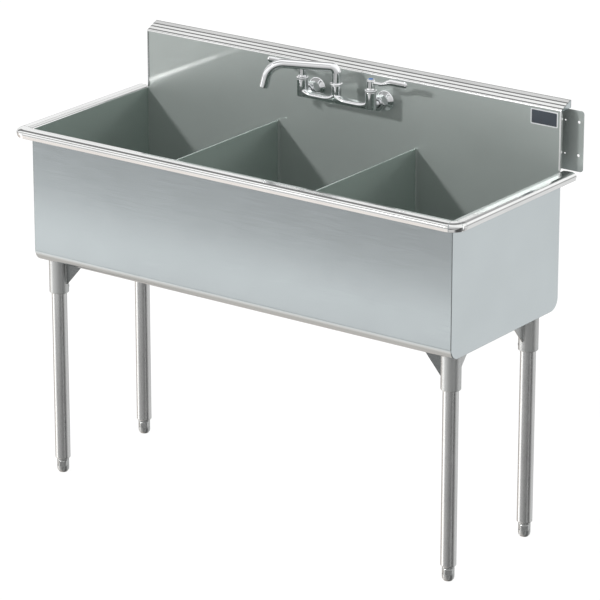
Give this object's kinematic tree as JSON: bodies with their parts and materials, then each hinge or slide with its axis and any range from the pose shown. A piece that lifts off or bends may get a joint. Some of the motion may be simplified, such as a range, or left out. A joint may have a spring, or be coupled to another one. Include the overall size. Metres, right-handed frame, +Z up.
{
  "type": "three compartment sink",
  "caption": "Free-standing stainless steel catering sink with three deep bowls in a row, rolled rim, backsplash, tubular legs with adjustable feet and a splash-mounted swing-spout faucet.",
  "frame": {"origin": "on the floor under the middle of the whole object's bounding box", "axes": "+X along the sink to the right as seen from its front, -Y out of the open front, +Y to the wall, +Z up"},
  "size_m": [1.316, 0.538, 1.0931],
  "materials": {
    "brushed_steel": "satin",
    "polished_rim": "polished",
    "bracket_steel": "satin",
    "tube_steel": "satin",
    "foot_steel": "satin",
    "drain_steel": "satin",
    "strainer_steel": "polished",
    "chrome": "polished",
    "dark_rubber": "matte",
    "insert_plastic": "matte",
    "label_film": "gloss",
    "blue_index": "gloss",
    "red_index": "gloss"
  },
  "bodies": {
    "sink": {"tub_wrap": "brushed_steel", "end_panel_left": "brushed_steel", "end_panel_right": "brushed_steel", "divider_left": "brushed_steel", "divider_right": "brushed_steel", "rim_corner_left": "polished_rim", "rim_corner_right": "polished_rim", "blank_label": "label_film", "wall_bracket": "bracket_steel", "leg_socket_front_left": "tube_steel", "leg_set_screw_front_left": "tube_steel", "leg_front_left": "tube_steel", "leg_insert_front_left": "insert_plastic", "leg_socket_front_right": "tube_steel", "leg_set_screw_front_right": "tube_steel", "leg_front_right": "tube_steel", "leg_insert_front_right": "insert_plastic", "leg_socket_rear_left": "tube_steel", "leg_set_screw_rear_left": "tube_steel", "leg_rear_left": "tube_steel", "leg_insert_rear_left": "insert_plastic", "leg_socket_rear_right": "tube_steel", "leg_set_screw_rear_right": "tube_steel", "leg_rear_right": "tube_steel", "leg_insert_rear_right": "insert_plastic", "drain_body_left": "drain_steel", "drain_gasket_left": "dark_rubber", "drain_nut_left": "drain_steel", "drain_body_centre": "drain_steel", "drain_gasket_centre": "dark_rubber", "drain_nut_centre": "drain_steel", "drain_body_right": "drain_steel", "drain_gasket_right": "dark_rubber", "drain_nut_right": "drain_steel", "faucet_body": "chrome", "spout_nut": "chrome", "hot_shank": "chrome", "hot_union_nut": "chrome", "hot_escutcheon": "chrome", "hot_bonnet": "chrome", "hot_lock_nut": "tube_steel", "cold_shank": "chrome", "cold_union_nut": "chrome", "cold_escutcheon": "chrome", "cold_bonnet": "chrome", "cold_lock_nut": "tube_steel"},
    "foot_front_left": {"foot_front_left": "foot_steel"},
    "foot_front_right": {"foot_front_right": "foot_steel"},
    "foot_rear_left": {"foot_rear_left": "foot_steel"},
    "foot_rear_right": {"foot_rear_right": "foot_steel"},
    "strainer_left": {"strainer_left": "strainer_steel"},
    "strainer_centre": {"strainer_centre": "strainer_steel"},
    "strainer_right": {"strainer_right": "strainer_steel"},
    "hot_handle": {"hot_lever": "chrome", "hot_index": "red_index"},
    "cold_handle": {"cold_lever": "chrome", "cold_index": "blue_index"},
    "swing_spout": {"spout": "chrome", "spout_tip": "chrome"}
  },
  "joints": [
    {"name": "spout_swing", "type": "hinge", "parent": "sink", "child": "swing_spout", "pos_m": [0.0142, 0.165, 1.0822], "axis": [0, 0, 1], "range_deg": [-12, 151]},
    {"name": "hot_handle_turn", "type": "hinge", "parent": "sink", "child": "hot_handle", "pos_m": [-0.0874, 0.165, 1.0605], "axis": [0, 0, 1], "range_deg": [0, 30]},
    {"name": "cold_handle_turn", "type": "hinge", "parent": "sink", "child": "cold_handle", "pos_m": [0.1158, 0.165, 1.0605], "axis": [0, 0, 1], "range_deg": [-90, 0]},
    {"name": "foot_front_left_height", "type": "slide", "parent": "sink", "child": "foot_front_left", "axis": [0, 0, 1], "range_m": [-0.012, 0.012]},
    {"name": "foot_front_right_height", "type": "slide", "parent": "sink", "child": "foot_front_right", "axis": [0, 0, 1], "range_m": [-0.012, 0.012]},
    {"name": "foot_rear_left_height", "type": "slide", "parent": "sink", "child": "foot_rear_left", "axis": [0, 0, 1], "range_m": [-0.012, 0.012]},
    {"name": "foot_rear_right_height", "type": "slide", "parent": "sink", "child": "foot_rear_right", "axis": [0, 0, 1], "range_m": [-0.012, 0.012]},
    {"name": "strainer_left_lift", "type": "slide", "parent": "sink", "child": "strainer_left", "axis": [0, 0, 1], "range_m": [0, 0.08]},
    {"name": "strainer_centre_lift", "type": "slide", "parent": "sink", "child": "strainer_centre", "axis": [0, 0, 1], "range_m": [0, 0.08]},
    {"name": "strainer_right_lift", "type": "slide", "parent": "sink", "child": "strainer_right", "axis": [0, 0, 1], "range_m": [0, 0.08]}
  ]
}
